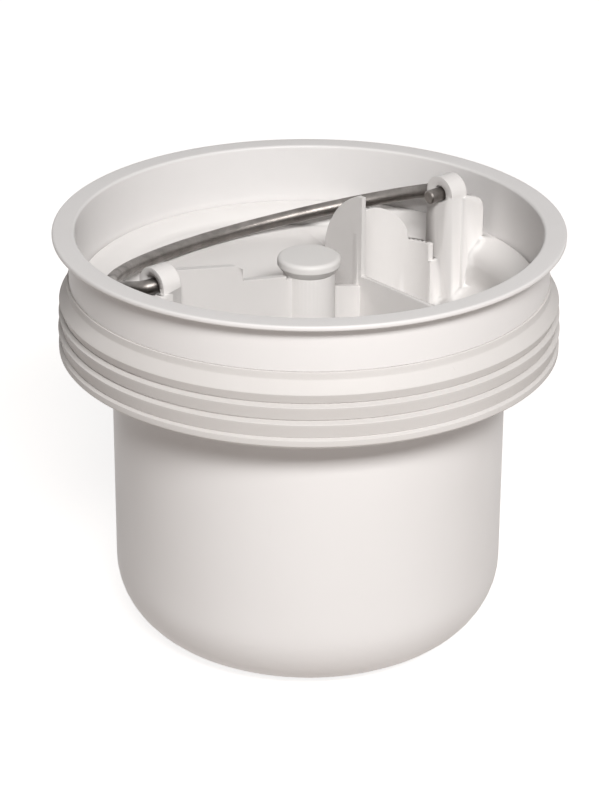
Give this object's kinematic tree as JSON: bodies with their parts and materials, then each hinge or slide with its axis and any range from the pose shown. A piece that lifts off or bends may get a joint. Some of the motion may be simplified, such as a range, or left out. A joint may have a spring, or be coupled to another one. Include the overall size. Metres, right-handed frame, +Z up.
{
  "type": "floor drain water trap",
  "caption": "Cup-type water trap insert for a floor drain: rim flange, lip seal, round bowl and a lift-out dip insert with a wire bail.",
  "frame": {"origin": "centre of the bowl's flat underside, on the trap's upright axis", "axes": "+Z up through the mouth, X along the pivots of the wire bail, +Y towards the outlet window, where the folded bail lies"},
  "size_m": [0.142, 0.142, 0.1244],
  "materials": {
    "white_plastic": "smooth moulded, half matt",
    "seal_rubber": "matt",
    "ring_rubber": "matt",
    "steel_wire": "drawn, slightly dull"
  },
  "bodies": {
    "trap": {"trap_body": "white_plastic", "lip_seal": "seal_rubber", "dip_insert": "white_plastic", "insert_ring": "ring_rubber", "post_plug": "white_plastic"},
    "bail": {"bail": "steel_wire"}
  },
  "joints": [
    {"name": "bail_hinge", "type": "hinge", "parent": "trap", "child": "bail", "pos_m": [0, 0, 0.1176], "axis": [1, 0, 0], "range_deg": [0, 181]}
  ]
}
